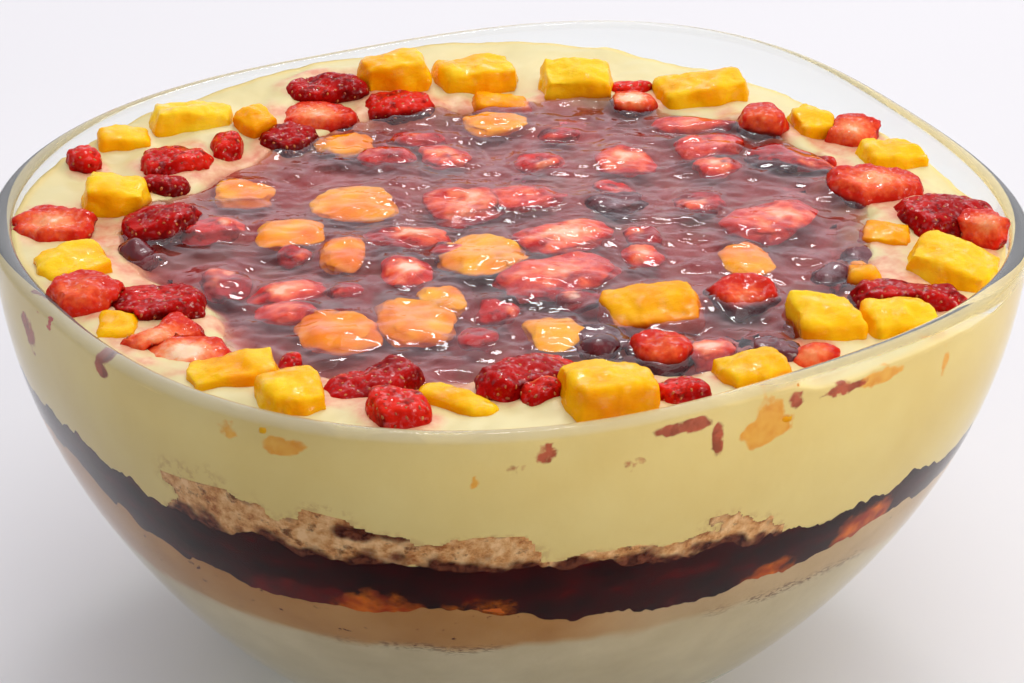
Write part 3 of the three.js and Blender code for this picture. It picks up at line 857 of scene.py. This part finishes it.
def poolTop(x, y):
    share = poolShare(x, y)
    u, v = 0.848 * x - 0.53 * y, 0.53 * x + 0.848 * y
    wave = pool["ripple"] * rough(u, v * 1.6, 0, 0.0085, 31, 4, 0.45)
    edge = -0.0024 * smooth((share - 0.95) / 0.1)
    swell = np.zeros_like(x)
    for kind, i, middle, half, turn in sunkPieces():
        away = outlineShare(x, y, middle, half, turn) + 0.12 * rough(x, y, 0, 0.008, 60 + i, 2)
        rise = sunk["swell"] * (0.55 + 0.6 * chance(i + len(kind))) * smooth((1.35 - away) / 0.75)
        ring = sunk["ring"] * (chance(i * 3 + len(kind)) > 0.45) * np.exp(-((away - 1.3) / 0.11) ** 2)
        swell = np.maximum(swell, rise + ring)
    for node, middle, half in standingPieces():
        swell = np.maximum(swell, 0.0011 * smooth((1.35 - outlineShare(x, y, middle, half)) / 0.4))
    return fillTop(x, y) + pool["proud"] + wave + edge + swell


def makePool():
    print("the pool of jelly")
    under, over = pool["underRows"], pool["overRows"]
    table = np.array(list(np.arange(under) / under) + list(1 + np.arange(over + 1) / over))

    def place(row, angle):
        x, y = np.cos(angle), np.sin(angle)
        r = np.where(row < 1, row, 2 - row) * pool["overlap"] * poolRadius(angle)
        z = np.where(row < 1, custardTop(r * x, r * y) - 0.0008, poolTop(r * x, r * y))
        return r, z

    piece = turnedPiece("jellyPool", pool["columns"], table, place)
    return settle(piece, poolFinish(), ["top_jelly"])


# ---- the fruit
fruit = {
    "mango": {"corner": 4.2, "taper": 0.12, "voxel": 0.0007, "softness": 10, "lump": 0.0009},
    "strawberry": {"corner": 2.8, "taper": 0.3, "voxel": 0.0006, "softness": 8, "lump": 0.0009},
    "cherry": {"corner": 2.2, "taper": 0.1, "voxel": 0.0006, "softness": 9, "lump": 0.0006},
    "pressed": 0.00055,    # how far a piece at the glass reaches into its wall
    "free": ("mango_17", "strawberry_15", "strawberry_20"),   # near the glass, with custard between
    "tucked": {"strawberry_20": "mango_21"},   # its thin end over this neighbour is drawn back
    "seedGap": 0.0024,
    "pit": (0.00042, 0.00075),   # depth and radius round a seed
    "seed": (0.00058, 0.00038, 0.00028),
    "pores": (0.00022, 0.0018),   # depth and size of the finest unevenness
    "bitCuts": 5,
}

# which side of a strawberry is cut: direction, how far it goes, tone of the skin, paleness of the core
strawberryLooks = {
    "dark": ((0.53, 0.85, -0.4), 0.55, 0.15, 1.0),
    "red": ((0.53, 0.85, 0.35), 0.60, 0.40, 1.0),
    "bright": ((-0.45, -0.60, 0.66), 0.05, 0.50, 0.4),
    "salmon": ((-0.35, -0.45, 0.82), 0.25, 0.35, 0.8),
    "pale": ((-0.25, -0.35, 0.90), 0.10, 0.40, 1.25),
}
strawberryTurns = {
    "dark": (4, 6, 12, 14, 16, 18, 21, 23),
    "bright": (9, 22, 24, 25),
    "salmon": (1, 5, 10, 11, 13, 20),
    "pale": (8, 19),
}
mangoTones = {3: 0.95, 4: 0.35, 7: 0.25, 12: 0.4, 21: 0.35, 23: 0.32}


def lookOf(node):
    number = int(node[-2:])
    return next((look for look, numbers in strawberryTurns.items() if number in numbers), "red")


def makeBlock(name, kind, middle, size, turn, cuts, seed, corner=None, uneven=0.13):
    # a piece cut by hand: a block with full sides and uneven corners
    half = np.array(size) / 2
    bpy.ops.mesh.primitive_cube_add(size=2, location=middle, rotation=(0, 0, turn), scale=half.tolist())
    piece = bpy.context.object
    piece.name = piece.data.name = name
    startEdit(piece)
    bpy.ops.mesh.subdivide(number_cuts=cuts)
    endEdit()
    values = fruit[kind]
    points = pointsOf(piece) / half
    corner = corner or values["corner"]
    points /= (np.abs(points) ** corner).sum(1)[:, None] ** (1 / corner)
    narrow = 1 - values["taper"] * (points[:, 0] + 1) / 2
    points[:, 1] *= narrow
    points *= 1 + uneven * rough(*points.T, 1.0, seed, 3)[:, None]
    movePoints(piece, points * half)
    bpy.ops.object.transform_apply(location=True, rotation=True, scale=True)
    return piece


def normalsOf(piece):
    values = np.empty(len(piece.data.vertices) * 3)
    piece.data.vertices.foreach_get("normal", values)
    return values.reshape(-1, 3)


seedSpots = []   # place, normal and size of every seed, filled in as the strawberries are made


def plantSeeds(points, normals, skin, seed):
    # seeds at even distances over the skin, each in its pit
    draw = np.random.default_rng(seed)
    order = draw.permutation(np.flatnonzero(skin > 0.6))[:1500]
    kept = []
    for i in order:
        if all(np.sum((points[i] - points[k]) ** 2) > fruit["seedGap"] ** 2 for k in kept):
            kept.append(i)
    depth, radius = fruit["pit"]
    if not kept:
        return points
    spots = points[kept]
    away = np.sqrt(((points[:, None] - spots[None]) ** 2).sum(2)).min(1)
    sunkTo = points - normals * (depth * np.exp(-(away / radius) ** 2))[:, None]
    for k in kept:
        seedSpots.append((sunkTo[k], normals[k], draw.uniform(0.8, 1.15)))
    return sunkTo


def dressFruit(piece, kind, seed, look, tone, covered=0.0, pressed=True):
    # a fine, soft surface, with seeds and the values that its finish reads
    values = fruit[kind]
    applyModifier(piece, "REMESH", mode="VOXEL", voxel_size=values["voxel"], adaptivity=0)
    applyModifier(piece, "SMOOTH", factor=0.5, iterations=values["softness"])
    points, normals = pointsOf(piece), normalsOf(piece)
    x, y, z = points.T
    depth, size = fruit["pores"]
    lump = values["lump"] * rough(x, y, z, 0.0075, seed, 2) + depth * rough(x, y, z, size, seed + 5, 2)
    points = points + normals * lump[:, None]
    middle, half = points.mean(0), np.ptp(points, axis=0) / 2
    if kind == "strawberry":
        direction, limit, tone, pale = strawberryLooks[look]
        direction = np.array(direction) / np.linalg.norm(direction)
        flesh = smooth((normals @ direction - limit) / 0.15)
        offset = (points - middle) - ((points - middle) @ direction)[:, None] * direction
        core = 1 - np.sqrt(((offset / half) ** 2).sum(1))
        paint(piece, "flesh", flesh)
        paint(piece, "core", np.clip(core, 0, 1) * pale)
        points = plantSeeds(points, normals, 1 - flesh, seed)
    angle, reachOut = np.arctan2(points[:, 1], points[:, 0]), np.hypot(*points.T[:2])
    if covered:
        at = wallAt(0.075, angle)
        edge = bandEdges(angle, at * np.cos(angle), at * np.sin(angle))[0] + band["hem"]
        points[:, 2] = np.maximum(points[:, 2], edge)
    wall = wallAt(points[:, 2], angle)
    near = smooth((reachOut - wall + 0.0010) / 0.0006) if pressed else 0
    target = reachOut + (wall + fruit["pressed"] - reachOut) * near
    points[:, :2] *= (target / reachOut)[:, None]
    low = points[:, 2] - fillTop(*points.T[:2])
    glaze = smooth((1.03 - poolShare(*points.T[:2])) / 0.06) * smooth((0.0032 - low) / 0.003)
    paint(piece, "glaze", np.maximum(glaze, covered))
    # painted light: the tone rises on upward faces and falls on downward ones, on top of the piece's own tone
    # and its random change
    paint(piece, "tone", tone + 0.3 * (normals[:, 2] - 0.45) + 0.2 * rough(x, y, z, 0.008, seed + 3, 2))
    movePoints(piece, points)


def fruitFinishes():
    return {"mango": mangoFinish(), "strawberry": strawberryFinish(), "cherry": cherryFinish()}


def makeFruit(finishes):
    print("the fruit")
    for i, node in enumerate(sorted(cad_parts)):
        kind = next((k for k in finishes if k in node), None)
        if kind is None:
            continue
        piece = addObject(node + "_piece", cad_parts[node].data.copy())
        startEdit(piece)
        bpy.ops.mesh.remove_doubles(threshold=1e-6)
        endEdit()
        neighbour = fruit["tucked"].get(node)
        if neighbour:
            low, high = (np.array(v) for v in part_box(neighbour))
            points = pointsOf(piece)
            over = outlineShare(*points.T[:2], (low + high)[:2] / 2, (high - low)[:2] / 2)
            back = 0.85 * smooth((1.02 - over) / 0.25)[:, None]
            movePoints(piece, points + back * (points.mean(0) - points))
        number = int(node[-2:])
        tone = mangoTones.get(number, 0.5 + 0.25 * chance(number))
        inBand = node.startswith("band")
        dressFruit(piece, kind, i, lookOf(node), 0.12 if inBand else tone, 0.55 if inBand else 0.0,
                   node not in fruit["free"])
        settle(piece, finishes[kind], [node])


def makeSunkFruit(finishes):
    # blocks whose tops follow the jelly, just under it
    print("the fruit in the jelly")
    made = {kind: [] for kind in ("mango", "strawberry", "berry")}
    for kind, i, (x, y), (halfLong, halfWide), turn in sunkPieces():
        own = "cherry" if kind == "berry" else kind
        level = float(poolTop(np.array([x]), np.array([y]))[0])
        size = (2 * halfLong, 2 * halfWide, sunk["high"])
        middle = (x, y, level - pool["skin"] + sunk["lift"] - sunk["high"] / 2)
        name = kind + "Sunk" + str(i)
        piece = makeBlock(name, own, middle, size, turn, sunk["cuts"], 70 + i, sunk["corner"], sunk["uneven"])
        points = pointsOf(piece)
        limit = poolTop(*points.T[:2]) - pool["skin"]
        soft = sunk["soft"]
        points[:, 2] = limit - soft * np.logaddexp(0, (limit - points[:, 2]) / soft)
        movePoints(piece, points)
        away = outlineShare(*points.T[:2], (x, y), (halfLong, halfWide), turn)
        paint(piece, "tone", 0.2 + 0.3 * chance(i) + 0.3 * rough(*points.T, 0.005, 150 + i, 2))
        paint(piece, "glaze", np.zeros(len(points)))
        cut = 1.1 if i < sunk["cut"] and chance(i * 5 + 2) > 0.3 else -0.2
        aside = ((points[:, 0] - x) * math.sin(i * 2.1) + (points[:, 1] - y) * math.cos(i * 2.1)) / halfWide
        streaky = rough(*points.T, 0.0035, 170 + i, 3)
        paint(piece, "flesh", smooth(cut + 0.9 * aside + 0.9 * streaky))
        paint(piece, "core", np.clip(1.0 - away + 0.35 * streaky, 0, 1) * (0.45 + 0.6 * chance(i * 7)))
        made[kind].append(piece)
    for kind, pieces in made.items():
        pickOnly(*pieces)
        bpy.ops.object.join()
        whole = bpy.context.object
        whole.name = whole.data.name = kind + "InJelly"
        own = "cherry" if kind == "berry" else kind
        settle(whole, finishes[own])


# small pieces on the custard: kind, middle x and y, length, width, height in mm, turn, how much shows, look
smallBits = [
    ("strawberry", -44, 72, 9, 14, 8, -20, 5, "red"), ("strawberry", 74, 57, 12, 9, 7, -25, 3, "red"),
    ("strawberry", -46, -87, 10, 9, 8, -20, 4, "red"), ("strawberry", -68, 59, 15, 9, 7, -25, 3, "dark"),
    ("strawberry", 85, -3, 24, 11, 7, -30, 2, "salmon"), ("mango", 57, -68, 8, 10, 8, -20, 4, ""),
    ("strawberry", -85, -45, 5, 8, 6, -30, 4, "red"), ("strawberry", 21, -96, 14, 7, 6, -15, 3, "salmon"),
    ("cherry", -18, -68, 11, 9, 7, 0, 3, ""),
]


def makeBits(finishes):
    print("small bits of fruit")
    for i, (kind, x, y, long, wide, high, turn, shows, look) in enumerate(smallBits):
        z = layers["fillMiddle"]
        if kind != "cherry":
            z = max(z - 0.001, float(custardTop(np.array([x * mm]), np.array([y * mm]))[0]))
        size = (long * mm, wide * mm, high * mm)
        name = kind + "Bit" + str(i + 1)
        middle = (x * mm, y * mm, z + (shows - high / 2) * mm)
        piece = makeBlock(name, kind, middle, size, math.radians(turn), fruit["bitCuts"], 90 + i)
        dressFruit(piece, kind, 90 + i, look or "red", 0.45)
        settle(piece, finishes[kind])


def scatter(name, model, spots, sizes, finish):
    # one mesh of many copies of a small model, each turned to its surface
    unit = pointsOf(model)
    faces = np.array([p.vertices[:] for p in model.data.polygons])
    points, polygons = [], []
    for i, (place, normal, size) in enumerate(spots):
        along = np.cross(normal, (math.cos(i * 2.4), math.sin(i * 2.4), 0.3))
        along /= np.linalg.norm(along)
        axes = np.array([along, np.cross(normal, along), normal])
        points.append(place + (unit * sizes * size) @ axes)
        polygons.append(faces + i * len(unit))
    mesh = bpy.data.meshes.new(name)
    mesh.from_pydata(np.concatenate(points).tolist(), [], np.concatenate(polygons).tolist())
    piece = addObject(name, mesh)
    bpy.data.objects.remove(model)
    return settle(piece, finish)


def makeSeeds():
    print("the seeds:", len(seedSpots))
    bpy.ops.mesh.primitive_ico_sphere_add(subdivisions=1, radius=1)
    model = bpy.context.object
    points = pointsOf(model)
    points[:, 1] *= 1 - 0.35 * points[:, 0]   # one end is pointed
    movePoints(model, points)
    scatter("strawberrySeeds", model, seedSpots, np.array(fruit["seed"]), seedFinish())


# ---- camera, lights and floor
camera = {
    "place": (-0.2991, -0.4792, 0.3813),
    "ahead": (0.4683, 0.7486, -0.4693),
    "roll": 0.0242,
    "lens": 87.54,
    "sensor": 36,
}


def makeCamera():
    data = bpy.data.cameras.new("camera")
    data.lens, data.sensor_width = camera["lens"], camera["sensor"]
    data.clip_start, data.clip_end = 0.01, 20
    eye = addObject("camera", data)
    ahead = Vector(camera["ahead"]).normalized()
    right = ahead.cross(Vector((0, 0, 1))).normalized()
    up = right.cross(ahead)
    c, s = math.cos(camera["roll"]), math.sin(camera["roll"])
    right, up = right * c + up * s, up * c - right * s
    turn = Matrix((right, up, -ahead)).transposed().to_4x4()
    eye.matrix_world = Matrix.Translation(camera["place"]) @ turn
    bpy.context.scene.camera = eye


def softLight(name, place, target, size, energy, colour):
    data = bpy.data.lights.new(name, "AREA")
    data.shape, data.size, data.size_y = "RECTANGLE", *size
    data.energy, data.color = energy, colour
    lamp = addObject(name, data)
    lamp.location = place
    lamp.rotation_euler = (Vector(target) - Vector(place)).to_track_quat("-Z", "Y").to_euler()


studio = {
    "lights": {
        "topLight": ((0.25, 0.05, 1.7), (1.5, 1.5), 10, (1, 0.99, 0.97)),
        "sparkle": ((0.55, 0.70, 1.2), (0.28, 0.12), 2.2, (1, 1, 1)),
        "frontLight": ((0.9, -1.1, 0.6), (0.7, 0.5), 6, (1, 0.90, 0.76)),
    },
    "glow": [   # direction, where it starts and is full, its least and most
        ((0, 0, 1), -0.3, 0.9, 0.28, 0.40),
        ((0.85, -0.2, 0), -0.3, 0.9, 0.20, 0.45),
        ((0.45, 0.70, 0.55), 0.75, 0.97, 0.0, 0.9),
    ],
    "sky": (0.93, 0.92, 1.0, 1),
}


def makeStudio():
    print("floor and lights")
    bpy.ops.mesh.primitive_plane_add(size=8, location=(0, 0, -0.0005))
    floor = bpy.context.object
    floor.name = "floor"
    f = Finish("paleFloor")
    colour = f.ramp(f.noise(0.4, 2), (0.3, (0.76, 0.75, 0.755)), (0.7, (0.79, 0.78, 0.785)))
    f.put(Base_Color=colour, Roughness=0.7)
    floor.data.materials.append(f.material)
    for name, (place, size, energy, colour) in studio["lights"].items():
        softLight(name, place, (0, 0, 0.08), size, energy, colour)
    world = bpy.data.worlds.new("studio")
    world.use_nodes = True
    nodes, links = world.node_tree.nodes, world.node_tree.links
    sky = nodes["Background"]
    towards = nodes.new("ShaderNodeTexCoord").outputs["Generated"]
    total = None
    for direction, *values in studio["glow"]:
        along = nodes.new("ShaderNodeVectorMath")
        along.operation = "DOT_PRODUCT"
        along.inputs[1].default_value = direction
        links.new(towards, along.inputs[0])
        glow = nodes.new("ShaderNodeMapRange")
        glow.interpolation_type = "SMOOTHSTEP"
        for socket, value in zip(glow.inputs[1:5], values):
            socket.default_value = value
        links.new(along.outputs["Value"], glow.inputs[0])
        both = nodes.new("ShaderNodeMath")
        both.operation = "ADD"
        both.inputs[1].default_value = 0
        links.new(glow.outputs[0], both.inputs[0])
        if total:
            links.new(total, both.inputs[1])
        total = both.outputs[0]
    links.new(total, sky.inputs["Strength"])
    sky.inputs["Color"].default_value = studio["sky"]
    bpy.context.scene.world = world
    bpy.context.scene.view_settings.view_transform = "Standard"


makeCamera()
makeStudio()
makeGlass()
makeCream()
makeBand()
makeSponge()
makeCustard()
makePool()
finishes = fruitFinishes()
makeFruit(finishes)
makeSunkFruit(finishes)
makeBits(finishes)
makeSeeds()
